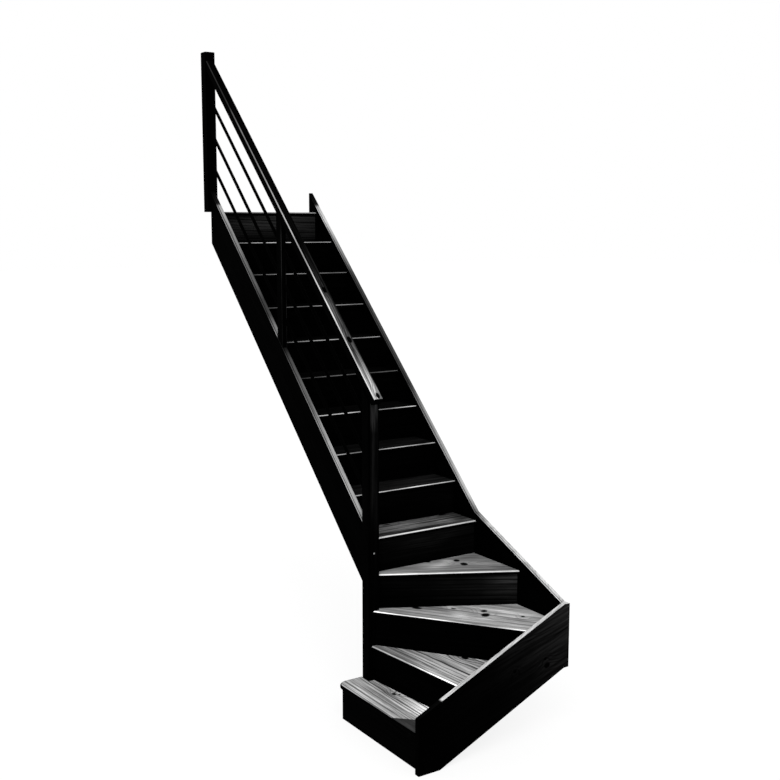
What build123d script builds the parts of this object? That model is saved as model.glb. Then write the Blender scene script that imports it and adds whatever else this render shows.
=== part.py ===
"""Quarter turn staircase: a straight flight above a winder turn, in timber.

Everything is set out in floor coordinates, in millimetres. Z = 0 is the lower
floor. The lower wall string lies along X with its inner face on Y = 0. The upper
wall string lies along Y with its inner face on X = 0. A person walks in along
+X, turns left on the winders and climbs along +Y. At export the whole stair is
moved so that the origin is on the plumb head of the upper wall string, at the
level of the upper floor.
"""
import os
from math import atan2, cos, hypot, sin, pi

from build123d import *

# Rise, going and boards
storey_height = 2800.0
riser_count = 14
rise = storey_height / riser_count
going = 206.0
tread_thick = 24.0
riser_thick = 10.0
nosing_overhang = 16.0
nosing_radius = 10.0
riser_tongue = 6.0

# Strings
clear_width = 719.0
string_thick = 32.0
string_margin = 38.0
string_arris = 3.0
string_drop = 305.0
tread_housing = 12.0
flight_head_y = 2707.0
string_foot_x = -949.0
turn_slope = 0.4385
turn_corner_z = 714.0
turn_string_depth = 355.0

# Newels, middle post, handrail and bars, all centred on the inner string. The post
# is as thick as the string, so that its faces run on from it
newel_side = 70.0
newel_south_y = 712.0
newel_housing = 10.0
riser_housing = 5.0
newel_top_z = 3840.0
newel_chamfer = 3.0
post_width = 60.0
post_south_y = 1718.0
rail_width = 56.0
rail_depth = 50.0
rail_top_above_pitch = 885.0
rail_overshoot_y = 52.0
rail_top_radius = 8.0
rail_under_chamfer = 2.0
bar_diameter = 20.0
bar_mortise = 15.0
bar_heights_above_pitch = (222.0, 427.0, 631.0)

# Plan lines of the turn: riser faces 2 and 3 by their X on the wall string and on
# the newel's south face, riser 4 by its Y on the wall string and on the newel's
# east face
riser_1_x = -916.0
riser_2_at_string_x = -667.0
riser_2_at_newel_x = -737.0
riser_3_at_string_x = -203.0
riser_3_at_newel_x = -723.0
riser_4_at_string_y = 368.0
riser_4_at_newel_y = 743.0
riser_5_y = 769.0

# Starting step, which runs past the newel with a rounded corner
step_1_end_y = 799.0
step_1_corner_radius = 62.0
step_1_end_overhang = 43.0

# Points of an edge closer than this to a line or level are on it
tolerance = 0.01

# Derived lines and levels
inner_axis_x = -clear_width - string_thick / 2
newel_west_x = inner_axis_x - newel_side / 2
newel_east_x = inner_axis_x + newel_side / 2
newel_north_y = newel_south_y + newel_side
step_housing_y = newel_south_y + newel_housing
step_housing_x = newel_east_x - newel_housing
pitch_slope = rise / going
pitch_run = hypot(rise, going)
pitch_angle = atan2(rise, going)
rail_plumb_depth = rail_depth * pitch_run / going
origin = Vector(string_thick / 2, flight_head_y, storey_height)
straight_treads = range(5, riser_count)


def riser_y(step):
    """Front face of a riser of the straight flight."""
    return riser_5_y + (step - 5) * going


def pitch_z(y):
    """Height of the line through the nosings of the straight flight."""
    return 5 * rise + (y - riser_5_y + nosing_overhang) * pitch_slope


def line_through(point_a, point_b):
    """Point on the line AB, as a function of its Y."""
    (ax, ay), (bx, by) = point_a, point_b
    return lambda y: (ax + (bx - ax) * (y - ay) / (by - ay), y)


def shifted(point_a, point_b, distance):
    """The line AB moved sideways, to the right of its direction."""
    (ax, ay), (bx, by) = point_a, point_b
    length = hypot(bx - ax, by - ay)
    dx = (by - ay) / length * distance
    dy = -(bx - ax) / length * distance
    return (ax + dx, ay + dy), (bx + dx, by + dy)


def crossing_x(line, x):
    """Point at a given X on the line through two points."""
    (ax, ay), (bx, by) = line
    return x, ay + (by - ay) * (x - ax) / (bx - ax)


def slab(points, bottom, top):
    """Plan outline raised between two levels."""
    face = make_face(Polyline(*points, close=True))
    return Pos(0, 0, bottom) * extrude(face, top - bottom)


def board_along_x(points, south, north):
    """Outline in X and Z, with a thickness in Y."""
    face = make_face(Plane.XZ * Polyline(*points, close=True))
    return Pos(0, north, 0) * extrude(face, north - south)


def board_along_y(points, west, east):
    """Outline in Y and Z, with a thickness in X."""
    face = make_face(Plane.YZ * Polyline(*points, close=True))
    return Pos(west, 0, 0) * extrude(face, east - west)


def level_edges_on(solid, line):
    """Horizontal edges of a board that lie over a line of its plan."""
    (ax, ay), (bx, by) = line
    length = hypot(bx - ax, by - ay)

    def distance(point):
        return abs((point.X - ax) * (by - ay) - (point.Y - ay) * (bx - ax)) / length

    def wanted(edge):
        start, end = edge @ 0, edge @ 1
        level = abs(start.Z - end.Z) < tolerance
        return level and distance(start) < tolerance and distance(end) < tolerance

    return solid.edges().filter_by(wanted)


def nosed(board, line):
    """Tread with its front edge rounded above and below."""
    return fillet(level_edges_on(board, line), nosing_radius)


# Riser faces of the turn, each from the wall string to the newel
riser_2 = ((riser_2_at_string_x, 0), (riser_2_at_newel_x, newel_south_y))
riser_3 = ((riser_3_at_string_x, 0), (riser_3_at_newel_x, newel_south_y))
riser_4 = ((0, riser_4_at_string_y), (newel_east_x, riser_4_at_newel_y))
nosing_2 = shifted(*riser_2, -nosing_overhang)
nosing_3 = shifted(*riser_3, -nosing_overhang)
nosing_4 = shifted(*riser_4, -nosing_overhang)
back_2 = shifted(*riser_2, riser_thick)
back_3 = shifted(*riser_3, riser_thick)
back_4 = shifted(*riser_4, riser_thick)


def tread_level(step):
    """Underside and top of a tread."""
    return step * rise - tread_thick, step * rise


def make_tread_1():
    """Starting step: rounded corner, with the nosing carried round its end."""
    nosing_x = riser_1_x - nosing_overhang
    radius = step_1_corner_radius
    face_2 = line_through(*riser_2)
    front = Line((nosing_x, -tread_housing), (nosing_x, step_1_end_y - radius))
    corner = RadiusArc(front @ 1, (nosing_x + radius, step_1_end_y), radius)
    outline = Polyline(
        corner @ 1,
        (newel_west_x, step_1_end_y),
        (newel_west_x, newel_north_y),
        (newel_west_x + newel_housing, newel_north_y),
        (newel_west_x + newel_housing, step_housing_y),
        face_2(step_housing_y),
        face_2(-tread_housing),
        front @ 0,
    )
    bottom, top = tread_level(1)
    face = make_face([front, corner, outline])
    board = Pos(0, 0, bottom) * extrude(face, top - bottom)

    def on_nosing(edge):
        middle = edge @ 0.5
        level = abs((edge @ 0).Z - (edge @ 1).Z) < tolerance
        in_front = middle.X < nosing_x + radius / 2
        at_end = middle.Y > step_1_end_y - tolerance
        return level and (in_front or at_end) and middle.Y > 0

    return fillet(board.edges().filter_by(on_nosing), nosing_radius)


def make_tread_2():
    front, back = line_through(*nosing_2), line_through(*riser_3)
    ends = (-tread_housing, step_housing_y)
    points = [front(ends[0]), back(ends[0]), back(ends[1]), front(ends[1])]
    return nosed(slab(points, *tread_level(2)), nosing_2)


def make_tread_3():
    """Corner tread, housed in both wall strings and round the newel."""
    front = line_through(*nosing_3)
    points = [
        front(-tread_housing),
        (tread_housing, -tread_housing),
        crossing_x(riser_4, tread_housing),
        crossing_x(riser_4, step_housing_x),
        (step_housing_x, step_housing_y),
        front(step_housing_y),
    ]
    return nosed(slab(points, *tread_level(3)), nosing_3)


def make_tread_4():
    points = [
        crossing_x(nosing_4, step_housing_x),
        crossing_x(nosing_4, tread_housing),
        (tread_housing, riser_5_y),
        (step_housing_x, riser_5_y),
    ]
    return nosed(slab(points, *tread_level(4)), nosing_4)


def make_straight_tread(step, back_y):
    """Tread of the straight flight; the first one is notched round the newel."""
    front_y = riser_y(step) - nosing_overhang
    west_x = -clear_width - tread_housing
    points = [(tread_housing, front_y), (tread_housing, back_y), (west_x, back_y)]
    if front_y < newel_north_y:
        points += [(west_x, newel_north_y), (step_housing_x, newel_north_y), (step_housing_x, front_y)]
    else:
        points += [(west_x, front_y)]
    front = (points[0], points[-1])
    return nosed(slab(points, *tread_level(step)), front)


def riser_level(step):
    """A riser stands behind the tread below and is tongued into the one above."""
    foot = 0 if step == 1 else (step - 1) * rise - tread_thick
    return foot, step * rise - tread_thick + riser_tongue


def make_riser_1():
    end_y = step_1_end_y - step_1_end_overhang
    back_x = riser_1_x + riser_thick
    points = [(riser_1_x, -tread_housing), (back_x, -tread_housing), (back_x, end_y), (riser_1_x, end_y)]
    return slab(points, *riser_level(1))


def make_riser_1_return():
    """Closes the end of the starting step, from its riser back to the newel."""
    end_y = step_1_end_y - step_1_end_overhang
    start_x = riser_1_x + riser_thick
    points = [
        (start_x, end_y - riser_thick),
        (newel_west_x, end_y - riser_thick),
        (newel_west_x, end_y),
        (start_x, end_y),
    ]
    return slab(points, *riser_level(1))


def make_turn_riser(step, front, back):
    """Riser 2 or 3, from the lower wall string to the newel's south face."""
    face, rear = line_through(*front), line_through(*back)
    ends = (-tread_housing, newel_south_y + riser_housing)
    points = [face(ends[0]), rear(ends[0]), rear(ends[1]), face(ends[1])]
    return slab(points, *riser_level(step))


def make_riser_4():
    west_x = newel_east_x - riser_housing
    points = [
        crossing_x(riser_4, west_x),
        crossing_x(riser_4, tread_housing),
        crossing_x(back_4, tread_housing),
        crossing_x(back_4, west_x),
    ]
    return slab(points, *riser_level(4))


def make_straight_riser(step):
    """Riser of the straight flight; riser 5 is housed in the newel instead of the string."""
    front_y = riser_y(step)
    back_y = front_y + riser_thick
    west_x = newel_east_x - riser_housing if step == 5 else -clear_width - tread_housing
    points = [(west_x, front_y), (tread_housing, front_y), (tread_housing, back_y), (west_x, back_y)]
    return slab(points, *riser_level(step))


def eased(string, profile):
    """String with both arrises planed off along the sloping runs of its top edge."""
    def on_top(edge):
        start, end = edge @ 0, edge @ 1
        sloping = abs(end.Z - start.Z) > tolerance
        in_profile = all(abs(profile(point) - point.Z) < tolerance for point in (start, end))
        return sloping and in_profile

    return chamfer(string.edges().filter_by(on_top), string_arris)


def turn_top_z(run):
    """Top edge of both wall strings along the turn, by the distance past the corner."""
    return turn_corner_z + turn_slope * run


def make_wall_string_lower():
    """Lower wall string: plumb front end, flat foot, level seat over the corner."""
    foot_end_x = -(turn_corner_z - turn_string_depth) / turn_slope
    points = [
        (string_foot_x, 0),
        (foot_end_x, 0),
        (0, turn_corner_z - turn_string_depth),
        (string_thick, turn_corner_z - turn_string_depth),
        (string_thick, turn_corner_z),
        (0, turn_corner_z),
        (string_foot_x, turn_top_z(string_foot_x)),
    ]
    return eased(board_along_x(points, -string_thick, 0), lambda point: turn_top_z(point.X))


def meeting_y(turn_level, pitch_offset):
    """Y where an edge of the turn meets the parallel edge of the straight flight."""
    return (turn_level - pitch_z(0) - pitch_offset) / (pitch_slope - turn_slope)


def make_wall_string_upper():
    """Upper wall string: one board with its edges cranked where the turn ends."""
    turn_under_z = turn_corner_z - turn_string_depth
    top_y = meeting_y(turn_corner_z, string_margin)
    under_y = meeting_y(turn_under_z, -string_drop)
    points = [
        (0, turn_under_z),
        (under_y, turn_under_z + turn_slope * under_y),
        (flight_head_y, pitch_z(flight_head_y) - string_drop),
        (flight_head_y, pitch_z(flight_head_y) + string_margin),
        (top_y, turn_top_z(top_y)),
        (0, turn_corner_z),
    ]

    def top_z(point):
        on_turn = point.Y < top_y
        return turn_top_z(point.Y) if on_turn else pitch_z(point.Y) + string_margin

    return eased(board_along_y(points, 0, string_thick), top_z)


def sloped_board(start_y, end_y, under, over, width):
    """Board parallel to the pitch with plumb ends, centred on the inner string."""
    points = [
        (start_y, pitch_z(start_y) + under),
        (end_y, pitch_z(end_y) + under),
        (end_y, pitch_z(end_y) + over),
        (start_y, pitch_z(start_y) + over),
    ]
    return board_along_y(points, inner_axis_x - width / 2, inner_axis_x + width / 2)


def make_inner_string():
    foot_y = newel_north_y - tread_housing
    string = sloped_board(foot_y, flight_head_y, -string_drop, string_margin, string_thick)
    return eased(string, lambda point: pitch_z(point.Y) + string_margin)


def make_handrail():
    """Handrail with a square-cut lower end, set on the newel and butted to the upper one."""
    west_x = inner_axis_x - rail_width / 2
    top_y = newel_south_y - rail_overshoot_y
    top_z = pitch_z(top_y) + rail_top_above_pitch
    under_y = top_y + rail_depth * sin(pitch_angle)
    under_z = top_z - rail_depth * cos(pitch_angle)
    head_z = pitch_z(flight_head_y) + rail_top_above_pitch
    points = [
        (top_y, top_z),
        (under_y, under_z),
        (flight_head_y, head_z - rail_plumb_depth),
        (flight_head_y, head_z),
    ]
    rail = board_along_y(points, west_x, west_x + rail_width)

    def long_edges(over):
        def wanted(edge):
            middle = edge @ 0.5
            above = middle.Z > pitch_z(middle.Y) + rail_top_above_pitch - rail_plumb_depth / 2
            return edge.length > flight_head_y / 2 and above == over
        return rail.edges().filter_by(wanted)

    rail = fillet(long_edges(True), rail_top_radius)
    return chamfer(long_edges(False), rail_under_chamfer)


def make_bar(height):
    """Round bar parallel to the pitch, with its ends in the two newels."""
    start_y, end_y = newel_north_y - bar_mortise, flight_head_y + bar_mortise
    start = Vector(inner_axis_x, start_y, pitch_z(start_y) + height)
    end = Vector(inner_axis_x, end_y, pitch_z(end_y) + height)
    axis = Plane(origin=start, z_dir=end - start)
    return extrude(axis * Circle(bar_diameter / 2), (end - start).length)


def make_newel_bottom():
    """Starting newel: stands on the floor, chamfered, with its head cut to the pitch."""
    under = rail_top_above_pitch - rail_plumb_depth
    points = [
        (newel_south_y, 0),
        (newel_north_y, 0),
        (newel_north_y, pitch_z(newel_north_y) + under),
        (newel_south_y, pitch_z(newel_south_y) + under),
    ]
    newel = board_along_y(points, newel_west_x, newel_east_x)
    return chamfer(newel.edges().filter_by(Axis.Z), newel_chamfer)


def make_newel_top():
    """Upper newel: stands on the upper floor against the plumb head of the inner string."""
    centre_y = flight_head_y + newel_side / 2
    height = newel_top_z - storey_height
    box = Pos(inner_axis_x, centre_y, storey_height + height / 2) * Box(newel_side, newel_side, height)
    arrises = box.edges().filter_by(Axis.Z) + box.faces().sort_by(Axis.Z)[-1].edges()
    return chamfer(arrises, newel_chamfer)


def make_middle_post():
    """Flat post between the inner string and the handrail, bored for the bars."""
    under = rail_top_above_pitch - rail_plumb_depth
    return sloped_board(post_south_y, post_south_y + post_width, string_margin, under, string_thick)


def make_landing_nosing():
    """Narrow top tread that ends flush with the heads of the strings."""
    return make_straight_tread(riser_count, flight_head_y)


def cut(body, tools):
    """Body with the exact housings of the pieces that seat in it."""
    for tool in tools:
        body = body - tool
    return body


# Treads and risers, with the tongue grooves cut in the treads' undersides
treads = {1: make_tread_1(), 2: make_tread_2(), 3: make_tread_3(), 4: make_tread_4()}
for step in straight_treads:
    treads[step] = make_straight_tread(step, riser_y(step + 1))
landing_nosing = make_landing_nosing()

risers = {
    1: make_riser_1(),
    2: make_turn_riser(2, riser_2, back_2),
    3: make_turn_riser(3, riser_3, back_3),
    4: make_riser_4(),
}
for step in range(5, riser_count + 1):
    risers[step] = make_straight_riser(step)
riser_1_return = make_riser_1_return()

treads = {step: tread - risers[step] for step, tread in treads.items()}
treads[1] = treads[1] - riser_1_return
landing_nosing = landing_nosing - risers[riser_count]

# Handrail side
bars = [make_bar(height) for height in bar_heights_above_pitch]
inner_string_blank = make_inner_string()
steps = list(treads.values()) + list(risers.values()) + [riser_1_return, landing_nosing]
inner_string = cut(inner_string_blank, steps)
newel_bottom = cut(make_newel_bottom(), steps + [inner_string_blank] + bars)
newel_top = cut(make_newel_top(), bars)
middle_post = cut(make_middle_post(), bars)

nodes = {
    "wall_string_lower": cut(make_wall_string_lower(), steps),
    "wall_string_upper": cut(make_wall_string_upper(), steps),
    "inner_string": inner_string,
    "newel_bottom": newel_bottom,
    "newel_top": newel_top,
    "middle_post": middle_post,
    "handrail": make_handrail(),
    "landing_nosing": landing_nosing,
    "riser_01_return": riser_1_return,
}
for number, bar in enumerate(bars, start=1):
    nodes[f"guard_bar_{number}"] = bar
for step, tread in treads.items():
    nodes[f"tread_{step:02d}"] = tread
for step, riser in risers.items():
    nodes[f"riser_{step:02d}"] = riser

os.makedirs("parts", exist_ok=True)
for name, solid in nodes.items():
    export_step(Pos(-origin.X, -origin.Y, -origin.Z) * solid, f"parts/{name}.step")
print(len(nodes), "pieces, rise", rise, "going", going, "pitch", round(pitch_angle * 180 / pi, 1))
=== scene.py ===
# %% [markdown]
# A quarter turn staircase is one of the plainest pieces of joinery: boards and
# posts, cut square, let into each other and stained. There is almost nothing to
# model on top of the construction, so this lesson is about timber. It shows how to
# make one piece of sawn wood out of rings, fibres and knots, and how to turn it so
# that the grain runs along each board, as it does in a real stair.

# %% Load the frame
from math import atan, atan2, pi, radians

import bpy
import numpy as np
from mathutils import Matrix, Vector


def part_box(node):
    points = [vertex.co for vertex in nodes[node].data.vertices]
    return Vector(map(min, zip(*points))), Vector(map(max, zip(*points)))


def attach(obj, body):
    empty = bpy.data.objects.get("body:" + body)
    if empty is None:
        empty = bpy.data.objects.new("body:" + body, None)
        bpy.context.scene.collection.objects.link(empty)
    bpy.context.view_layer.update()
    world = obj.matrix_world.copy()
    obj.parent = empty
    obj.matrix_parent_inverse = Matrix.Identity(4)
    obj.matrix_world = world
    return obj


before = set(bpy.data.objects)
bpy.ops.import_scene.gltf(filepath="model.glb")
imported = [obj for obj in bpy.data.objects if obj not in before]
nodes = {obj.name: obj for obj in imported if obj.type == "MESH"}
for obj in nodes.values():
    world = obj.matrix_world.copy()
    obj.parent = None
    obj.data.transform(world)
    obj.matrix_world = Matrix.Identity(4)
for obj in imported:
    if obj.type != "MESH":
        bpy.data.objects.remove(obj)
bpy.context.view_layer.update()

print(len(nodes), "pieces of joinery loaded")

# %% [markdown]
# Everything that follows is set out from the stair itself. Two treads next to each
# other give the rise and the going, and from those comes the pitch, the slope that
# the strings, the handrail and the bars share.

# %% Measure the stair
step_count = 14
floor_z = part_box("wall_string_lower")[0].z
low_tread, next_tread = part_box("tread_06"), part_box("tread_07")
rise = next_tread[1].z - low_tread[1].z
going = next_tread[0].y - low_tread[0].y
pitch = atan2(rise, going)
print(f"rise {rise:.3f} m, going {going:.3f} m, pitch {pitch * 180 / pi:.1f} degrees")

# %% [markdown]
# The camera stands a little over four metres in front of the foot of the stair and
# three to its left, just below the level of the upper floor, and looks slightly
# down. Its place was worked out from the straight edges of the stair: the nosings
# run to one vanishing point and the posts to another, and the rise gives the scale.

# %% Set the camera
photo_side = 780
focal_pixels = 1139.0
sensor_width = 36.0
eye = Vector((-4.0131, -7.1079, -0.0772))
turn_to_right = radians(33.367)
look_down = radians(8.310)
sight_limit = 200.0

camera_data = bpy.data.cameras.new("studio_camera")
camera_data.sensor_width = sensor_width
camera_data.lens = sensor_width * focal_pixels / photo_side
camera_data.clip_end = sight_limit
camera = bpy.data.objects.new("studio_camera", camera_data)
camera.location = eye
camera.rotation_euler = (pi / 2 - look_down, 0, -turn_to_right)
bpy.context.scene.collection.objects.link(camera)
bpy.context.scene.camera = camera
bpy.context.scene.view_settings.view_transform = "Standard"
print(f"lens {camera_data.lens:.1f} mm")

# %% [markdown]
# Shader nodes are wired by hand in the node editor, but in a script the wiring soon
# hides the idea. This small class keeps each node on one line: it makes the node,
# sets its options, and feeds each input with a number or with the output of another
# node.


# %% A helper for wiring nodes
class Wiring:
    """Adds nodes to one tree; most calls return the new node's output."""

    def __init__(self, tree):
        self.tree = tree

    def feed(self, made, inputs):
        """Sets each input of a node to a number, or links it to another node's output."""
        for name, value in inputs.items():
            if isinstance(value, bpy.types.NodeSocket):
                self.tree.links.new(value, made.inputs[name])
            else:
                made.inputs[name].default_value = value

    def node(self, kind, inputs, output=0, **options):
        made = self.tree.nodes.new("ShaderNode" + kind)
        for name, value in options.items():
            setattr(made, name, value)
        self.feed(made, inputs)
        return made.outputs[output] if made.outputs else made

    def math(self, operation, a, b=0.0, c=0.0):
        return self.node("Math", {0: a, 1: b, 2: c}, operation=operation)

    def add(self, a, b):
        return self.math("ADD", a, b)

    def times(self, a, b):
        return self.math("MULTIPLY", a, b)

    def inverse(self, a):
        return self.math("SUBTRACT", 1.0, a)

    def ramp(self, value, start, end, low=0.0, high=1.0):
        """Smooth step from low at start to high at end."""
        ends = {"Value": value, "From Min": start, "From Max": end, "To Min": low, "To Max": high}
        return self.node("MapRange", ends, interpolation_type="SMOOTHSTEP")

    def line(self, distance, width, depth=1.0):
        """Narrow band with soft sides, where a signed distance is near nought."""
        return self.ramp(self.math("ABSOLUTE", distance), width / 2, width, depth, 0.0)

    def stops(self, value, pairs):
        """Level that changes along a length: pairs of a place, in metres, and a level."""
        start, end = pairs[0][0], pairs[-1][0]
        share = self.node("MapRange", {"Value": value, "From Min": start, "From Max": end})
        made = self.tree.nodes.new("ShaderNodeValToRGB")
        self.tree.links.new(share, made.inputs[0])
        elements = made.color_ramp.elements
        elements[1].position = 1.0
        for number, (place, level) in enumerate(pairs):
            spot = (place - start) / (end - start)
            if number == 0:
                element = elements[0]
            elif number == len(pairs) - 1:
                element = elements[len(elements) - 1]
            else:
                element = elements.new(spot)
            element.color = (level, level, level, 1)
        return made.outputs[0]

    def stretch(self, vector, scale):
        return self.node("VectorMath", {0: vector, 1: scale}, operation="MULTIPLY")

    def noise(self, vector, seed, detail=2.0, roughness=0.5):
        """Noise of a vector that is already scaled; the seed picks another pattern."""
        settings = {"Vector": vector, "W": seed, "Scale": 1.0, "Detail": detail, "Roughness": roughness}
        return self.node("TexNoise", settings, noise_dimensions="4D")

    def mix_number(self, factor, a, b):
        return self.node("Mix", {0: factor, 2: a, 3: b}, data_type="FLOAT")

    def grey(self, value):
        return self.node("CombineColor", {0: value, 1: value, 2: value})

    def split(self, vector):
        made = self.tree.nodes.new("ShaderNodeSeparateXYZ")
        self.tree.links.new(vector, made.inputs[0])
        return made.outputs

    def normal(self):
        """The way the face looks, in the stair's own directions."""
        return self.node("TexCoord", {}, output="Normal")

    def group(self, tree, inputs):
        """Places a shared group and returns all its outputs."""
        made = self.tree.nodes.new("ShaderNodeGroup")
        made.node_tree = tree
        self.feed(made, inputs)
        return made.outputs


def new_group(name, inputs, outputs):
    """An empty group with its sockets, and the wiring to fill it in."""
    tree = bpy.data.node_groups.new(name, "ShaderNodeTree")
    kinds = {"number": "NodeSocketFloat", "vector": "NodeSocketVector"}
    for socket, kind in inputs.items():
        tree.interface.new_socket(name=socket, in_out="INPUT", socket_type=kinds[kind])
    for socket in outputs:
        tree.interface.new_socket(name=socket, in_out="OUTPUT", socket_type=kinds["number"])
    entrance = tree.nodes.new("NodeGroupInput").outputs
    leave = tree.nodes.new("NodeGroupOutput").inputs
    return tree, Wiring(tree), entrance, leave


print("wiring helper ready")

# %% [markdown]
# A log is a stack of cones, one for each year. In spring the tree lays down pale,
# open wood, and towards autumn narrower, denser and darker wood, which then stops
# short at the next spring. A board is a slice through those cones: near the edges of
# the log the rings cut its face in parallel lines, near the middle they meet in long
# pointed arches. So the pattern needs no drawing. The shader measures how far each
# point lies from the heart of the log, divides by the width of a year, and keeps the
# fraction. Because the pattern fills space, it matches round every corner of the
# board.


# %% Group: sawn timber
# Scales as features in a metre: along the grain, across the face and in depth
bend_scale, waver_scale = (1.1, 5.0, 5.0), (7.0, 30.0, 30.0)
fibre_scale, cloud_scale, streak_scale = (18.0, 900.0, 900.0), (2.4, 9.0, 9.0), (2.0, 60.0, 60.0)
waver_seed, cloud_seed, streak_seed = 3.7, 11.0, 23.0
waver_share = 0.12
uneven_years, uneven_pace = 1.6, 0.37
late_start, late_full, late_stop = 0.5, 0.88, 0.93
faintest_year = 0.35


def make_sawn_timber():
    """Ring fraction = distance from the pith over ring width, with slow noise.

    The board's own X runs along the grain, Y across its face and Z through its
    thickness, in metres.
    """
    inputs = {
        "Board": "vector", "Pith Across": "number", "Pith Depth": "number", "Taper": "number",
        "Ring Width": "number", "Wander": "number", "Pull": "number", "Seed": "number",
    }
    outputs = ("Latewood", "Fibre", "Cloud", "Streak")
    tree, wire, given, out = new_group("sawn timber", inputs, outputs)
    board, seed = given["Board"], given["Seed"]
    along, across, depth = wire.split(board)

    bend = wire.noise(wire.stretch(board, bend_scale), seed, detail=2.0)
    waver = wire.noise(wire.stretch(board, waver_scale), wire.add(seed, waver_seed), detail=1.0)
    small_wander = wire.times(given["Wander"], waver_share)
    drift = wire.times(wire.add(bend, -0.5), given["Wander"])
    drift = wire.add(drift, wire.times(wire.add(waver, -0.5), small_wander))

    lean = wire.times(along, given["Taper"])
    side = wire.add(wire.math("SUBTRACT", across, given["Pith Across"]), wire.add(lean, drift))
    down = wire.add(wire.math("SUBTRACT", depth, given["Pith Depth"]), drift)
    radius = wire.math("SQRT", wire.add(wire.times(side, side), wire.times(down, down)))

    years = wire.add(wire.math("DIVIDE", radius, given["Ring Width"]), given["Pull"])
    uneven = wire.noise(wire.node("CombineXYZ", {0: wire.times(years, uneven_pace)}), seed, detail=1.0)
    years = wire.add(years, wire.times(uneven, uneven_years))
    season = wire.math("FRACT", years)
    rising = wire.ramp(season, late_start, late_full)
    stopping = wire.ramp(season, late_stop, 1.0, 1.0, 0.0)
    year = wire.math("FLOOR", years)
    strength = wire.node("TexWhiteNoise", {"W": wire.add(year, seed)}, noise_dimensions="1D")
    late = wire.times(wire.times(rising, stopping), wire.ramp(strength, 0.0, 1.0, faintest_year, 1.0))

    fibre = wire.noise(wire.stretch(board, fibre_scale), seed, detail=3.0, roughness=0.6)
    cloud = wire.noise(wire.stretch(board, cloud_scale), wire.add(seed, cloud_seed), detail=3.0)
    streak_at = wire.add(seed, streak_seed)
    streak = wire.noise(wire.stretch(board, streak_scale), streak_at, detail=4.0, roughness=0.65)
    for name, pattern in zip(outputs, (late, fibre, cloud, streak)):
        wire.tree.links.new(pattern, out[name])
    return tree


sawn_timber = make_sawn_timber()
print(len(sawn_timber.nodes), "nodes make the rings")

# %% [markdown]
# A knot is where a branch left the trunk. It shows as a dark oval with a ragged rim,
# and the years of the trunk flow round it like water round a pier. In the shader the
# knot is a distance again, this time from its own centre. Inside it colours the
# wood, and further out it adds to the ring count, which bends the lines around it.


# %% Group: knot
rim_scale, rim_seed, raggedness = (110.0, 110.0, 110.0), 2.0, 0.6
rim_start, rim_end = 0.75, 1.1
bend_reach = 5.0


def make_knot():
    """Oval distance from a centre in the plane of the face, in knot radii."""
    inputs = {
        "Board": "vector", "Centre": "vector", "Radius": "number", "Length": "number", "Bend": "number",
    }
    tree, wire, given, out = new_group("knot", inputs, ("Core", "Pull"))
    offset = wire.node("VectorMath", {0: given["Board"], 1: given["Centre"]}, operation="SUBTRACT")
    along, across, _ = wire.split(offset)
    a = wire.math("DIVIDE", along, wire.times(given["Radius"], given["Length"]))
    b = wire.math("DIVIDE", across, given["Radius"])
    ragged = wire.noise(wire.stretch(given["Board"], rim_scale), rim_seed, detail=2.0)
    distance = wire.math("SQRT", wire.add(wire.times(a, a), wire.times(b, b)))
    edge = wire.add(distance, wire.times(wire.add(ragged, -0.5), raggedness))
    wire.tree.links.new(wire.ramp(edge, rim_start, rim_end, 1.0, 0.0), out["Core"])
    pull = wire.times(wire.ramp(distance, 0.0, bend_reach, 1.0, 0.0), given["Bend"])
    wire.tree.links.new(pull, out["Pull"])
    return tree


knot_group = make_knot()
print("knot group ready")

# %% [markdown]
# The finish has two sides. Most faces that look up are bare, pale timber: planed,
# walked on and left. Upright faces are stained almost black, so that the grain only
# shows where the stain lies thin, on the sides that got a single coat, and where
# painted light falls on them. The two meet along the arrises, and most steps also
# carry a thin bright line along the nosing, a painted highlight where the light
# catches the rounded front. Three groups hold what the boards share: which way a face
# looks, whether it is one of the sides that got a single coat, towards the wall of the
# flight, the back or below, and where a soft patch lies.


# %% Groups: facing up, one coat, and soft places
hidden_side, hidden_from, hidden_whole = (0.55, 0.8, -0.5), 0.1, 0.4


def make_facing():
    """How far the face looks up, as smooth steps of the normal's Z."""
    inputs = {"From": "number", "To": "number"}
    tree, wire, given, out = new_group("facing up", inputs, ("Up",))
    up = wire.split(wire.normal())[2]
    share = wire.math("DIVIDE", wire.math("SUBTRACT", up, given["From"]),
                      wire.math("SUBTRACT", given["To"], given["From"]))
    wire.tree.links.new(wire.ramp(share, 0.0, 1.0), out["Up"])
    return tree


def make_one_coat():
    """One on faces turned to the wall of the flight, the back or the floor, by the normal."""
    tree, wire, _, out = new_group("one coat", {}, ("Hidden",))
    away = wire.node("VectorMath", {0: wire.normal(), 1: hidden_side}, output="Value",
                     operation="DOT_PRODUCT")
    wire.tree.links.new(wire.ramp(away, hidden_from, hidden_whole), out["Hidden"])
    return tree


def make_soft_place():
    """One inside an ellipsoid and nought outside, fading over its skin."""
    inputs = {"Place": "vector", "Centre": "vector", "Reach": "vector"}
    tree, wire, given, out = new_group("soft place", inputs, ("Inside",))
    offset = wire.node("VectorMath", {0: given["Place"], 1: given["Centre"]}, operation="SUBTRACT")
    share = wire.node("VectorMath", {0: offset, 1: given["Reach"]}, operation="DIVIDE")
    distance = wire.node("VectorMath", {0: share}, output="Value", operation="LENGTH")
    wire.tree.links.new(wire.ramp(distance, 0.0, 1.0, 1.0, 0.0), out["Inside"])
    return tree


facing_up = make_facing()
one_coat = make_one_coat()
soft_place = make_soft_place()
print("facing, one coat and soft place groups ready")

# %% [markdown]
# Every material starts the same way: it takes the point in the stair's own metres,
# turns it into the board's own directions, and asks the sawn timber group for rings
# and fibres. What differs is the direction of the board, the part of the log that it
# was cut from, its knots and its tones.

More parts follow.
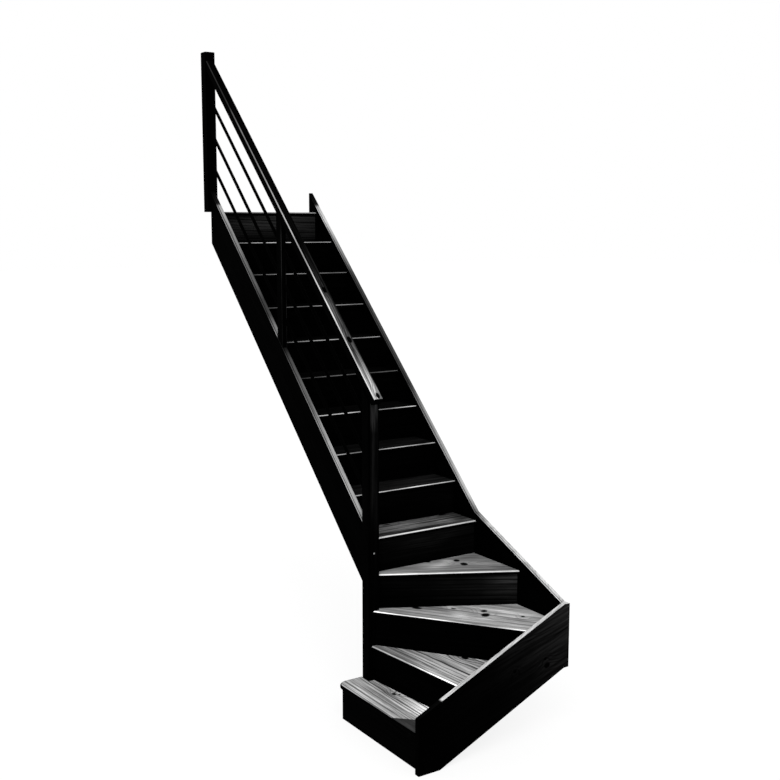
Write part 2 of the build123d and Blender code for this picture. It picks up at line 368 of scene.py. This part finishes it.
# %% A board's material
matt_gloss = 0.003
stained_tone = 0.0003
one_coat_tone = 0.010
knot_depth, knot_bend = 0.99, 1.5
texture_spread, streak_spread = 0.2, 0.13
roughness_swing, relief_strength = 0.1, 0.6
late_relief, fibre_relief = 0.7, 0.3


def board_turn(along_plan, slope=0.0, upright=True):
    """Rotation of a board: grain along a plan direction, raised by a slope.

    An upright board shows its face sideways; a tread shows it upwards.
    """
    return (pi / 2 if upright else 0.0, -slope, along_plan)


class Timber:
    """One material under way: its wiring and the masks that the finish needs."""

    def __init__(self, name, centre, turn, log, knots=()):
        self.material = bpy.data.materials.new(name)
        self.material.use_nodes = True
        tree = self.material.node_tree
        tree.nodes.clear()
        self.wire = wire = Wiring(tree)
        self.place = wire.node("TexCoord", {}, output="Object")
        directions = {"Location": centre, "Rotation": turn}
        self.board = wire.node("Mapping", {"Vector": self.place, **directions}, vector_type="TEXTURE")
        self.knots, pull = 0.0, 0.0
        for point, radius, length in knots:
            middle = wire.node("Mapping", {"Vector": point, **directions}, vector_type="TEXTURE")
            placed = wire.group(knot_group, {
                "Board": self.board, "Centre": middle, "Radius": radius, "Length": length,
                "Bend": knot_bend,
            })
            self.knots = wire.math("MAXIMUM", self.knots, placed["Core"])
            pull = wire.add(pull, placed["Pull"])
        rings = wire.group(sawn_timber, {
            "Board": self.board, "Pith Across": log["across"], "Pith Depth": log["depth"],
            "Taper": log["taper"], "Ring Width": log["ring"], "Wander": log["wander"],
            "Pull": pull, "Seed": log["seed"],
        })
        self.late, self.fibre = rings["Latewood"], rings["Fibre"]
        self.cloud, self.streak = rings["Cloud"], rings["Streak"]

    def up(self, start, end):
        return self.wire.group(facing_up, {"From": start, "To": end})["Up"]

    def near(self, centre, reach):
        where = {"Place": self.place, "Centre": centre, "Reach": reach}
        return self.wire.group(soft_place, where)["Inside"]

    def patched(self, level, places):
        """Level that turns to another tone in soft places: (centre, reach, tone)."""
        for centre, reach, tone in places:
            level = self.wire.mix_number(self.near(centre, reach), level, tone)
        return level

    def tone(self, level, contrast, fibre=0.25, cloud=0.5, streak=0.0):
        """Level darkened by latewood and knots and varied by fibre, cloud and streak."""
        wire = self.wire
        shade = wire.times(level, wire.inverse(wire.times(self.late, contrast)))
        textures = (
            (self.fibre, fibre, texture_spread), (self.cloud, cloud, texture_spread),
            (self.streak, streak, streak_spread),
        )
        for texture, swing, spread in textures:
            if swing:
                swung = wire.ramp(texture, 0.5 - spread, 0.5 + spread, 1 - swing, 1 + swing)
                shade = wire.times(shade, swung)
        return wire.times(shade, wire.inverse(wire.times(self.knots, knot_depth)))

    def stained(self, level=stained_tone, contrast=0.85, streak=0.3):
        """Dark stain, thinner on the sides that got a single coat."""
        hidden = self.wire.group(one_coat, {})["Hidden"]
        return self.tone(self.wire.mix_number(hidden, level, one_coat_tone), contrast, streak=streak)

    def finish(self, colour, roughness=0.7, relief=0.0003):
        """Ends the material with the shader, a varied roughness and raised grain."""
        wire = self.wire
        rough = wire.ramp(self.late, 0.0, 1.0, roughness + roughness_swing, roughness - roughness_swing)
        height = wire.add(wire.times(self.late, late_relief), wire.times(self.fibre, fibre_relief))
        bump = wire.node("Bump", {"Strength": relief_strength, "Distance": relief, "Height": height})
        sockets = {"Base Color": wire.grey(colour), "Roughness": rough, "Normal": bump,
                   "Specular IOR Level": matt_gloss}
        shader = wire.node("BsdfPrincipled", sockets)
        wire.node("OutputMaterial", {"Surface": shader})
        return self.material


def middle_of(name):
    low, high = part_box(name)
    return tuple((low + high) / 2)


def paint(node, material):
    """Gives a piece of the frame its finish, in every slot it has."""
    mesh = nodes[node].data
    mesh.materials.clear()
    mesh.materials.append(material)


print("timber material ready")

# %% [markdown]
# The treads come first, because the light falls on them. Each is one wide board with
# the grain along its nosing, so the first four each run another way. The low two are
# coarse, fast grown boards with broad dark rings, the next two are fine. From
# the fifth on less and less light reaches them between the strings, so their tones
# fall quickly to near black as painted shade, while most nosings keep a thin line of
# painted highlight.

# %% Directions and tones of the treads
nosing_lines = {
    1: ((-0.932, -2.70), (-0.932, -1.95)),
    2: ((-0.683, -2.707), (-0.753, -1.993)),
    3: ((-0.219, -2.707), (-0.739, -1.993)),
    4: ((-0.719, -1.98), (-0.016, -2.355)),
}
# Tones of the tread tops; from the fifth up they fall towards black as painted shade, where less light
# reaches them
tread_tones = {1: 0.42, 2: 0.42, 3: 0.29, 4: 0.24, 5: 0.09, 6: 0.009, 7: 0.005, 8: 0.002}
shaded_tread_tone = 0.0015
# Painted highlight along each nosing, where the light catches its rounded front
nosing_highlight_tones = {
    1: 0.0, 2: 0.95, 3: 1.0, 4: 0.80, 5: 0.68, 6: 0.55, 7: 0.5, 8: 0.65, 9: 0.1, 10: 0.4, 11: 0.24,
    12: 0.20, 13: 0.60, 14: 0.30,
}
# How far a face looks up where the nosing's painted highlight, or the top, begins and where it is whole
wide_lip, narrow_lip, top_face = (0.25, 0.5), (0.45, 0.7), (0.9, 0.99)
wide_highlight_steps = (4, 5, 14)
left_fade_from_step = 9
left_share, right_share = 0.45, 1.1
line_contrast, line_streak = 0.2, 0.3
even_cloud, patchy_cloud = 0.2, 0.6
print(len(nosing_highlight_tones), "nosings have their tone")

# %% Logs and looks of the treads
tread_logs = {
    1: dict(across=0.25, depth=-0.10, taper=0.02, ring=0.021, wander=0.05, seed=1.3),
    2: dict(across=0.05, depth=-0.12, taper=0.03, ring=0.018, wander=0.04, seed=2.9),
    3: dict(across=-0.10, depth=-0.20, taper=0.05, ring=0.006, wander=0.06, seed=3.1),
    4: dict(across=0.16, depth=-0.16, taper=0.02, ring=0.006, wander=0.05, seed=4.6),
}
straight_log = dict(depth=-0.14, taper=0.02, ring=0.008, wander=0.05)
coarse_look = dict(contrast=0.95, cloud=0.35, streak=0.5)
fine_look = dict(contrast=0.3, cloud=0.35, streak=0.45)
straight_look = dict(contrast=0.75, cloud=0.5, streak=0.5)
rough_look = dict(contrast=0.85, fibre=0.45, cloud=0.7, streak=0.8)
tread_looks = {1: coarse_look, 2: coarse_look, 3: fine_look, 4: fine_look, 5: rough_look}
print(len(tread_logs), "treads have a log described by hand")

# %% [markdown]
# Knots and worn patches tell one board from the next. They could be scattered by a
# noise, but on a real stair each has its place, so each is given by a point on the
# tread's top. The first tread also has a painted shadow of the lower string's front
# end on its front right corner, beyond a slanting border, and the fifth has a row of
# open pores along its front.

# %% Knots and worn patches
# Knots as (point on the face, radius across the grain, length in radii along it)
tread_knots = {
    1: (((-0.766, -2.217, -2.6), 0.011, 1.5), ((-0.747, -2.240, -2.6), 0.006, 1.6),
        ((-0.717, -2.241, -2.6), 0.010, 1.6), ((-0.713, -2.187, -2.6), 0.005, 4.0)),
    2: (((-0.441, -2.418, -2.4), 0.017, 1.5),),
    3: (((-0.242, -2.329, -2.2), 0.021, 0.9), ((-0.276, -2.385, -2.2), 0.032, 0.8),
        ((-0.120, -2.516, -2.2), 0.012, 1.0), ((-0.524, -2.084, -2.2), 0.018, 1.8),
        ((-0.359, -2.204, -2.2), 0.010, 1.6)),
    4: (((-0.195, -2.008, -2.0), 0.024, 0.8), ((-0.200, -2.086, -2.0), 0.029, 0.8),
        ((-0.349, -1.941, -2.0), 0.012, 1.4)),
    5: (((-0.506, -1.748, -1.8), 0.010, 3.0), ((-0.102, -1.740, -1.8), 0.010, 3.0)),
}
# Worn patches as (centre, reach, tone)
tread_patches = {
    1: (((-0.740, -2.480, -2.6), (0.18, 0.32, 0.05), 0.90),),
    2: (((-0.394, -2.500, -2.4), (0.14, 0.16, 0.05), 0.55),),
    3: (((-0.180, -2.460, -2.2), (0.42, 0.42, 0.05), 0.60),
        ((-0.379, -2.297, -2.2), (0.07, 0.10, 0.05), 0.70),
        ((-0.351, -2.178, -2.2), (0.06, 0.08, 0.05), 0.65)),
    4: (((-0.380, -2.020, -2.0), (0.22, 0.12, 0.05), 0.36),
        ((-0.326, -2.026, -2.0), (0.09, 0.05, 0.05), 0.55),
        ((-0.247, -1.986, -2.0), (0.06, 0.05, 0.05), 0.50)),
    5: (((-0.171, -1.869, -1.8), (0.12, 0.06, 0.05), 0.22),),
}
# Painted shadow of the lower string's front end on the first tread: it lies beyond the line on which X and
# Y have this sum
string_shadow_sum, string_shadow_tone, string_shadow_contrast = -3.403, 0.045, 0.4
string_shadow_blend, shadow_border_width, shadow_border_depth = 0.001, 0.004, 0.8
pore_line_y = {5: -1.929}
pore_line_width, pore_fibres = 0.006, (0.4, 0.5)
print(sum(len(knots) for knots in tread_knots.values()), "knots in the treads")


# %% Paint the treads
def tread_name(step):
    return "landing_nosing" if step == step_count else f"tread_{step:02d}"


def painted_string_shadow(timber, pale):
    """Front right corner of the first tread, under a painted shadow of the string's front end beyond a
    slanting border, with a dark line along it.
    """
    wire = timber.wire
    x, y, _ = wire.split(timber.place)
    beyond = wire.math("SUBTRACT", string_shadow_sum, wire.add(x, y))
    inside = wire.ramp(beyond, -string_shadow_blend, string_shadow_blend)
    border = wire.line(beyond, shadow_border_width, shadow_border_depth)
    # Beyond the border the tread takes the painted shadow's tone, with a dark line along the border
    stained = wire.mix_number(inside, pale, timber.tone(string_shadow_tone, string_shadow_contrast))
    return wire.times(stained, wire.inverse(border))


def pore_line(timber, line_y, pale):
    """Row of open pores along the front, between the fibres."""
    wire = timber.wire
    y = wire.split(timber.place)[1]
    row = wire.line(wire.add(y, -line_y), pore_line_width)
    pores = wire.times(row, wire.ramp(timber.fibre, *pore_fibres))
    return wire.times(pale, wire.inverse(pores))


def nosing_highlight(timber, step, low_x, middle_x):
    """Painted highlight along a nosing; high up the flight it fades towards the left."""
    wire = timber.wire
    level = nosing_highlight_tones[step]
    if step >= left_fade_from_step:
        x = wire.split(timber.place)[0]
        level = wire.times(level, wire.ramp(x, low_x, middle_x, left_share, right_share))
    cloud = even_cloud if step in wide_highlight_steps else patchy_cloud
    return timber.tone(level, line_contrast, cloud=cloud, streak=line_streak)


def tread_material(step):
    """Pale top, painted shade on the higher treads, a painted highlight on the nosing and stained sides, on
    a board of its own.
    """
    grain = 0.0
    if step in nosing_lines:
        (ax, ay), (bx, by) = nosing_lines[step]
        grain = atan2(by - ay, bx - ax)
    low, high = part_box(tread_name(step))
    centre = ((low.x + high.x) / 2, (low.y + high.y) / 2, high.z)
    log = tread_logs.get(step) or dict(straight_log, seed=step * 7.3, across=0.03 * ((step * 5) % 7))
    timber = Timber(tread_name(step), centre, board_turn(grain, upright=False), log,
                    tread_knots.get(step, ()))
    wire = timber.wire
    tone = timber.patched(tread_tones.get(step, shaded_tread_tone), tread_patches.get(step, ()))
    pale = timber.tone(tone, **tread_looks.get(step, straight_look))
    if step == 1:
        pale = painted_string_shadow(timber, pale)
    if step in pore_line_y:
        pale = pore_line(timber, pore_line_y[step], pale)
    lip = wide_lip if step in wide_highlight_steps else narrow_lip
    bright = nosing_highlight(timber, step, low.x, centre[0])
    colour = wire.mix_number(timber.up(*lip), timber.stained(), bright)
    return timber.finish(wire.mix_number(timber.up(*top_face), colour, pale))


for step in range(1, step_count + 1):
    paint(tread_name(step), tread_material(step))
print("treads painted")

# %% [markdown]
# Risers are thin boards stained black. On most of them the grain is a guess, but the
# fourth catches the light towards the wall, and the top one, under the landing, along
# its whole length. The fifth and sixth catch a little. Black stain over wood could be
# one flat tone; a level that rises along the board keeps the grain where light falls.

# %% Risers
# Direction of each turned riser in plan, from its run in Y and in X
riser_plans = {1: pi / 2, 2: atan2(0.714, -0.070), 3: atan2(0.714, -0.520), 4: atan2(-0.375, 0.7025)}
# Painted light on the stain, from the left end to the right: pairs of X and tone
riser_painted_light = {
    4: ((-0.75, 0.0003), (-0.45, 0.0018), (-0.20, 0.0060), (0.0, 0.026)),
    5: ((-0.75, 0.0010), (-0.40, 0.0030), (0.0, 0.0048)),
    6: ((-0.75, 0.0003), (0.0, 0.0010)),
    step_count: ((-0.75, 0.013), (-0.40, 0.013), (0.0, 0.017)),
}
foot_share, head_share = 0.25, 1.2
riser_contrast, riser_streak = 0.95, 0.4
# Boards cut beside the heart of the log, whose rings run straight along the face
straight_grained = {
    4: dict(across=0.18, depth=-0.06, taper=0.02, ring=0.021, wander=0.04, seed=20.4),
    5: dict(across=0.20, depth=-0.05, taper=0.01, ring=0.013, wander=0.03, seed=25.5),
    step_count: dict(across=0.16, depth=-0.05, taper=0.03, ring=0.016, wander=0.10, seed=71.4),
}


def riser_material(step):
    """Stained board, with the grain showing where painted light falls on it."""
    arched = dict(across=0.02 * ((step * 3) % 5) - 0.04, depth=-0.05 - 0.01 * (step % 4), taper=0.06,
                  ring=0.018, wander=0.10, seed=step * 5.1)
    log = straight_grained.get(step, arched)
    name = f"riser_{step:02d}"
    timber = Timber(name, middle_of(name), board_turn(riser_plans.get(step, 0.0)), log)
    level = stained_tone
    # Painted light on the stain, rising along the board and towards its top
    if step in riser_painted_light:
        x, _, z = timber.wire.split(timber.place)
        low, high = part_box(name)
        upper = timber.wire.ramp(z, low.z, high.z, foot_share, head_share)
        level = timber.wire.times(timber.wire.stops(x, riser_painted_light[step]), upper)
    return timber.finish(timber.stained(level, riser_contrast, streak=riser_streak))


for step in range(1, step_count + 1):
    paint(f"riser_{step:02d}", riser_material(step))
paint("riser_01_return", riser_material(1))
print("risers painted")

# %% [markdown]
# The strings are the two wide boards that carry the steps, and a short one along the
# turn. Their faces are stained and their top edges are bare. On the short one the face
# carries painted light that grows towards the wall corner and upwards, and its top edge
# is dark towards the front end. On the short one the eased arrises kept their stain; on
# the long ones they are bare too, with one line of stain left behind the arris that
# shows. Feet and hands have worn the bare edge unevenly: it is near white round the
# turn, dull at the crank, where the slope changes, and grey halfway up. Near their upper
# ends the long edges fall dark under a painted shadow of the floor above, and the inner
# one also has painted shade at the foot of the middle post.

# %% Wear and stain of the strings
# How far a face looks up where the bare wood begins and where it is whole
bare_edge, bare_edge_and_arris = (0.66, 0.70), (0.45, 0.50)
stain_line_in, stain_line_width, stain_line_depth = 0.0065, 0.0035, 0.85
# The lower string's top edge stays dark towards its front end and turns pale between these two X
lower_pale_from, lower_edge_tones = (-0.828, -0.812), (0.0015, 0.56)
# Wear along a top edge, with painted shadow near its upper end and, on the inner one, painted shade at the
# foot of the middle post: pairs of Y and tone
upper_wear_and_shade = (
    (-2.70, 0.62), (-2.05, 0.60), (-1.95, 0.12), (-1.85, 0.40), (-1.55, 0.36), (-1.35, 0.20),
    (-1.25, 0.05), (-0.55, 0.055), (-0.40, 0.25), (-0.10, 0.60), (-0.085, 0.01), (0.02, 0.0),
)
inner_wear_and_shade = (
    (-1.92, 0.25), (-1.88, 0.35), (-1.83, 0.50), (-1.50, 0.45), (-1.30, 0.16), (-1.06, 0.065),
    (-1.00, 0.01), (-0.93, 0.01), (-0.91, 0.28), (-0.80, 0.06), (-0.70, 0.05), (-0.60, 0.14), (-0.30, 0.22),
    (-0.10, 0.36), (-0.085, 0.01), (0.02, 0.0),
)
# Painted light along the lower string's face: pairs of X and tone, and its share by height
lower_face_light = ((-0.95, 0.0001), (-0.50, 0.0011), (-0.25, 0.0042), (0.016, 0.0105))
lower_heights, lower_shares = (-2.62, -2.18), (0.25, 1.1)
edge_contrast, edge_cloud, edge_streak = 0.4, 0.2, 0.25
face_contrast, face_streak = 0.95, 0.5
crack_start_x, crack_start_z, crack_end_x = 0.007, -2.217, -0.13
crack_width, crack_depth = 0.005, 0.9
dark_corner_blend, dark_corner_drop = 0.002, 0.02
lower_grain_slope = 0.33
print(len(upper_wear_and_shade) + len(inner_wear_and_shade), "stops describe the worn edges")


# %% Paint the strings
def string_material(name, turn, log, face, edge, knots=(), bare=bare_edge):
    """Stained faces and a bare top edge; both levels may change along the board."""
    timber = Timber(name, middle_of(name), turn, log, knots)
    wire = timber.wire
    pale = timber.tone(edge(timber), edge_contrast, cloud=edge_cloud, streak=edge_streak)
    dark = timber.stained(face(timber), face_contrast, streak=face_streak)
    return timber.finish(wire.mix_number(timber.up(*bare), dark, pale))


def lower_face(timber):
    """Painted light on the stain, growing towards the wall corner and upwards, where a drying crack follows
    the grain; a narrow strip at the corner end is darker below the crack's start.
    """
    wire = timber.wire
    x, _, z = wire.split(timber.place)
    fade = wire.times(wire.stops(x, lower_face_light), wire.ramp(z, *lower_heights, *lower_shares))
    line_z = wire.math("MULTIPLY_ADD", wire.add(x, -crack_start_x), lower_grain_slope, crack_start_z)
    crack = wire.times(wire.line(wire.math("SUBTRACT", z, line_z), crack_width),
                       wire.ramp(x, crack_end_x, crack_end_x / 3))
    corner_x = (crack_start_x - dark_corner_blend, crack_start_x + dark_corner_blend)
    corner = wire.times(wire.ramp(x, *corner_x),
                        wire.ramp(z, crack_start_z, crack_start_z - dark_corner_drop))
    return wire.times(fade, wire.inverse(wire.times(wire.math("MAXIMUM", crack, corner), crack_depth)))


def plain_face(timber):
    return stained_tone


def lower_edge(timber):
    x = timber.wire.split(timber.place)[0]
    return timber.wire.ramp(x, *lower_pale_from, *lower_edge_tones)


def edge_wear_and_shade(timber, board, wear_and_shade):
    """Wear and painted shade along the top, with a line of stain left just behind the arris that shows."""
    wire = timber.wire
    x, y, _ = wire.split(timber.place)
    from_line = wire.add(x, -(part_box(board)[0].x + stain_line_in))
    line = wire.line(from_line, stain_line_width, stain_line_depth)
    return wire.times(wire.stops(y, wear_and_shade), wire.inverse(line))


def upper_edge(timber):
    return edge_wear_and_shade(timber, "wall_string_upper", upper_wear_and_shade)


def inner_edge(timber):
    return edge_wear_and_shade(timber, "inner_string", inner_wear_and_shade)


lower_log = dict(across=0.05, depth=-0.07, taper=0.06, ring=0.013, wander=0.06, seed=21.0)
upper_log = dict(across=-0.02, depth=-0.09, taper=0.03, ring=0.009, wander=0.06, seed=33.0)
inner_log = dict(across=0.03, depth=-0.08, taper=0.03, ring=0.009, wander=0.06, seed=45.0)
lower_knots = (
    ((-0.136, -2.739, -2.400), 0.016, 1.3), ((-0.149, -2.739, -2.361), 0.008, 1.4),
    ((-0.356, -2.739, -2.386), 0.009, 1.4),
)
paint("wall_string_lower", string_material(
    "wall_string_lower", board_turn(0.0, atan(lower_grain_slope)), lower_log, lower_face, lower_edge,
    lower_knots))
paint("wall_string_upper", string_material(
    "wall_string_upper", board_turn(pi / 2, pitch), upper_log, plain_face, upper_edge,
    bare=bare_edge_and_arris))
paint("inner_string", string_material(
    "inner_string", board_turn(pi / 2, pitch), inner_log, plain_face, inner_edge,
    bare=bare_edge_and_arris))
print("strings painted")

# %% [markdown]
# The two newels and the middle post are timber on end, so the grain runs up. The
# lower newel carries painted light on its front under its head, in upright streaks,
# and the post has painted highlights along its two front arrises. Both marks could
# be painted by hand; a place across the face times a place along it gives them with
# two short lists.

# %% Newels and post
newel_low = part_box("newel_bottom")[0]
# Painted light on the lower newel's front: share across the front by X, and tone along it by Z
newel_light_band = ((-0.786, 0.0), (-0.775, 0.0), (-0.771, 1.0), (-0.730, 1.0), (-0.726, 0.0), (-0.716, 0.0))
newel_light = ((-2.8, 0.0003), (-2.10, 0.0003), (-1.80, 0.0009), (-1.60, 0.0022), (-1.20, 0.0035),
              (-1.08, 0.035), (-0.95, 0.055))
skin, front_depth = 0.001, 0.003
# Painted highlights along the middle post's front arrises
post_highlight_tone, post_arris_width, post_foot_share = 0.020, 0.003, 0.3
post_right_shares = ((-0.70, 0.7), (-0.40, 0.4), (-0.25, 0.0))
post_left_shares = ((-0.60, 0.7), (-0.15, 1.0), (-0.05, 0.0))
post_contrast, post_streak = 0.7, 0.8


def on_front(wire, y, front_y):
    """One on the front face, nought from a few millimetres behind it."""
    return wire.ramp(y, front_y + skin, front_y + front_depth, 1.0, 0.0)


def newel_face(timber):
    """Painted light in a band down the middle of the front face, strongest under the head."""
    wire = timber.wire
    x, y, z = wire.split(timber.place)
    band = wire.times(wire.stops(x, newel_light_band), on_front(wire, y, newel_low.y))
    return wire.mix_number(band, stained_tone, wire.stops(z, newel_light))


def post_face(timber):
    """Painted highlights along both front arrises, each over a part of the height."""
    wire = timber.wire
    x, y, z = wire.split(timber.place)
    low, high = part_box("middle_post")

    def arris_highlight(arris_x, inward, shares):
        across = wire.ramp(x, arris_x + inward * post_arris_width, arris_x + inward * skin)
        return wire.times(across, wire.stops(z, ((low.z, post_foot_share), *shares, (high.z, 0.0))))

    right = arris_highlight(high.x, -1, post_right_shares)
    left = arris_highlight(low.x, 1, post_left_shares)
    lines = wire.times(wire.math("MAXIMUM", left, right), on_front(wire, y, low.y))
    return wire.mix_number(lines, stained_tone, post_highlight_tone)


def post_material(name, seed, face=plain_face):
    """Stained upright timber; thin stain shows as upright streaks."""
    log = dict(across=0.05, depth=-0.06, taper=0.01, ring=0.007, wander=0.03, seed=seed)
    timber = Timber(name, middle_of(name), board_turn(0.0, pi / 2), log)
    return timber.finish(timber.stained(face(timber), post_contrast, streak=post_streak))


paint("newel_bottom", post_material("newel_bottom", 51.0, newel_face))
paint("newel_top", post_material("newel_top", 57.0))
paint("middle_post", post_material("middle_post", 63.0, post_face))
print("posts painted")

# %% [markdown]
# The handrail is dark too, but its top is worn pale where hands come down on it, in
# the lower third, and the rounded arris on its left carries a painted highlight for
# most of its length, brightest near the foot of the flight and dark again at the
# head. The normal tells the three apart: the top looks up, the arris up and left, and
# the rest stays dark.

# %% Handrail and bars
# Wear along the rail's top, and the painted highlight along its left arris: pairs of Y and tone
rail_top_wear = (
    (-2.05, 0.30), (-1.87, 0.26), (-1.79, 0.11), (-1.55, 0.07), (-1.47, 0.012),
    (-1.30, 0.008), (-1.20, 0.0012), (0.05, 0.0012),
)
rail_highlight_tones = (
    (-2.05, 0.60), (-1.90, 0.75), (-1.35, 0.65), (-1.20, 0.40), (-1.00, 0.42), (-0.75, 0.25),
    (-0.50, 0.20), (-0.33, 0.04), (0.05, 0.012),
)
# Knots of the rail's top as (X, Y, radius, length)
rail_knots = ((-0.748, -2.030, 0.013, 1.6), (-0.750, -1.745, 0.016, 1.6), (-0.752, -1.475, 0.014, 1.8))
rail_top_up, rail_arris_up, rail_arris_left = (0.55, 0.68), (0.2, 0.35), (-0.25, -0.4)
rail_top_look = dict(contrast=0.8, streak=0.9)
rail_highlight_look = dict(contrast=0.2, cloud=0.3, streak=0.2)


def rail_material():
    """Worn top, a painted highlight along the left arris and stained sides."""
    log = dict(across=0.03, depth=-0.03, taper=0.005, ring=0.009, wander=0.02, seed=71.0)
    head_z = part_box("handrail")[1].z
    knots = [((x, y, head_z + y * rise / going), radius, length) for x, y, radius, length in rail_knots]
    turn = board_turn(pi / 2, pitch, upright=False)
    timber = Timber("handrail", middle_of("handrail"), turn, log, knots)
    wire = timber.wire
    y = wire.split(timber.place)[1]
    right, _, up = wire.split(wire.normal())
    top = timber.tone(wire.stops(y, rail_top_wear), **rail_top_look)
    # Painted highlight along the left arris
    arris = timber.tone(wire.stops(y, rail_highlight_tones), **rail_highlight_look)
    colour = wire.mix_number(wire.ramp(up, *rail_top_up), timber.stained(), top)
    on_arris = wire.times(wire.ramp(right, *rail_arris_left), wire.ramp(up, *rail_arris_up))
    return timber.finish(wire.mix_number(on_arris, colour, arris))


paint("handrail", rail_material())
bar_log = dict(across=0.0, depth=-0.02, taper=0.005, ring=0.004, wander=0.01, seed=81.0)
bar_timber = Timber("guard_bar", middle_of("guard_bar_1"), board_turn(pi / 2, pitch), bar_log)
bar_material = bar_timber.finish(bar_timber.stained())
for number in (1, 2, 3):
    paint(f"guard_bar_{number}", bar_material)
print("handrail and bars painted")

# %% [markdown]
# One screw holds the inner string in the lower newel, and a turned wooden plug hides
# its head. The plug is a shallow dome. It could be a flattened sphere, but a profile
# swept round an axis says what a lathe does. The profile is a quarter of an ellipse:
# the radius falls with the cosine of an angle while the height rises with its sine.
# The plug was left unstained and shows as a dot.

# %% The plug on the lower newel
plug_radius = 0.0050
plug_height = 0.0016
plug_centre = Vector((-0.750, newel_low.y, -1.872))
plug_rings, plug_sides = 8, 40
plug_tone, plug_contrast = 0.35, 0.6


def plug_mesh():
    """Dome: radius times cosine and height times sine of a rising angle, closed by a pole."""
    rising = np.linspace(0.0, pi / 2, plug_rings + 1)[:-1]
    around = np.linspace(0.0, 2 * pi, plug_sides, endpoint=False)
    across = plug_radius * np.cos(rising)[:, None] * np.cos(around)[None, :]
    upward = plug_radius * np.cos(rising)[:, None] * np.sin(around)[None, :]
    outward = plug_height * np.sin(rising)[:, None] * np.ones_like(around)[None, :]
    points = np.stack([plug_centre.x + across, plug_centre.y - outward, plug_centre.z + upward], axis=-1)
    pole = [[plug_centre.x, plug_centre.y - plug_height, plug_centre.z]]
    points = np.concatenate([points.reshape(-1, 3), pole])
    ring, side = np.meshgrid(np.arange(plug_rings - 1), np.arange(plug_sides), indexing="ij")
    here, beside = ring * plug_sides + side, ring * plug_sides + (side + 1) % plug_sides
    quads = np.stack([here, beside, beside + plug_sides, here + plug_sides], axis=-1).reshape(-1, 4)
    last = (plug_rings - 1) * plug_sides + np.arange(plug_sides)
    following = (plug_rings - 1) * plug_sides + (np.arange(plug_sides) + 1) % plug_sides
    tip = np.full(plug_sides, len(points) - 1)
    triangles = np.stack([last, following, tip], axis=-1)
    mesh = bpy.data.meshes.new("newel_plug")
    mesh.from_pydata(points.tolist(), [], quads.tolist() + triangles.tolist())
    mesh.polygons.foreach_set("use_smooth", np.ones(len(mesh.polygons), dtype=bool))
    mesh.update()
    return mesh


plug = bpy.data.objects.new("newel_plug", plug_mesh())
bpy.context.scene.collection.objects.link(plug)
plug_log = dict(across=0.0, depth=-0.01, taper=0.0, ring=0.0016, wander=0.002, seed=91.0)
plug_timber = Timber("newel_plug", tuple(plug_centre), board_turn(0.0), plug_log)
plug.data.materials.append(plug_timber.finish(plug_timber.tone(plug_tone, plug_contrast)))
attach(plug, "root")
print(len(plug.data.polygons), "faces make the plug")

# %% [markdown]
# A plain pale floor, a white world behind it, and one wide soft lamp from the front,
# the left and above. A studio gets its white by lighting the backdrop more than the
# object. Here the floor and the world look brighter to the camera, in reflections and
# through clear panes than they are as a light, and the floor keeps a faint shadow.


# %% Seen by the camera or in a reflection
def seen_directly(wire):
    """One for rays from the camera, a reflection or a clear pane, nought for bounced light."""
    paths = wire.tree.nodes.new("ShaderNodeLightPath").outputs
    direct = wire.math("MAXIMUM", paths["Is Camera Ray"], paths["Is Glossy Ray"])
    return wire.math("MAXIMUM", direct, paths["Is Transmission Ray"])


def plain(level):
    return (level, level, level, 1)


print("light path helper ready")

# %% Floor
floor_reach = 60.0
floor_shade, floor_glow, floor_bounce = 0.2, 0.83, 0.8
floor_mesh = bpy.data.meshes.new("floor")
quarters = ((-1, -1), (1, -1), (1, 1), (-1, 1))
corners = [(x * floor_reach, y * floor_reach, floor_z) for x, y in quarters]
floor_mesh.from_pydata(corners, [], [(0, 1, 2, 3)])
floor = bpy.data.objects.new("floor", floor_mesh)
bpy.context.scene.collection.objects.link(floor)

floor_material = bpy.data.materials.new("pale_floor")
floor_material.use_nodes = True
floor_material.node_tree.nodes.clear()
wire = Wiring(floor_material.node_tree)
shaded = wire.node("BsdfDiffuse", {"Color": plain(floor_shade)})
glow = wire.node("Emission", {"Color": plain(1), "Strength": floor_glow})
shown = wire.node("AddShader", {0: shaded, 1: glow})
bounce = wire.node("BsdfDiffuse", {"Color": plain(floor_bounce)})
surface = wire.node("MixShader", {0: seen_directly(wire), 1: bounce, 2: shown})
wire.node("OutputMaterial", {"Surface": surface})
floor_mesh.materials.append(floor_material)
print(f"floor {2 * floor_reach:.0f} m wide at {floor_z:.3f} m")

# %% World and lamp
world_light, world_shown = 0.75, 1.0
lamp_strength, lamp_width = 1.2, radians(40)
lamp_tilt, lamp_turn = radians(42), radians(-35)
world = bpy.data.worlds.new("studio")
bpy.context.scene.world = world
world.use_nodes = True
world.node_tree.nodes.clear()
wire = Wiring(world.node_tree)
dim = wire.node("Background", {"Color": plain(1), "Strength": world_light})
white = wire.node("Background", {"Color": plain(1), "Strength": world_shown})
surface = wire.node("MixShader", {0: seen_directly(wire), 1: dim, 2: white})
wire.node("OutputWorld", {"Surface": surface})

lamp_data = bpy.data.lights.new("soft_lamp", "SUN")
lamp_data.energy = lamp_strength
lamp_data.angle = lamp_width
lamp = bpy.data.objects.new("soft_lamp", lamp_data)
lamp.rotation_euler = (lamp_tilt, 0, lamp_turn)
bpy.context.scene.collection.objects.link(lamp)
print("world and lamp ready")
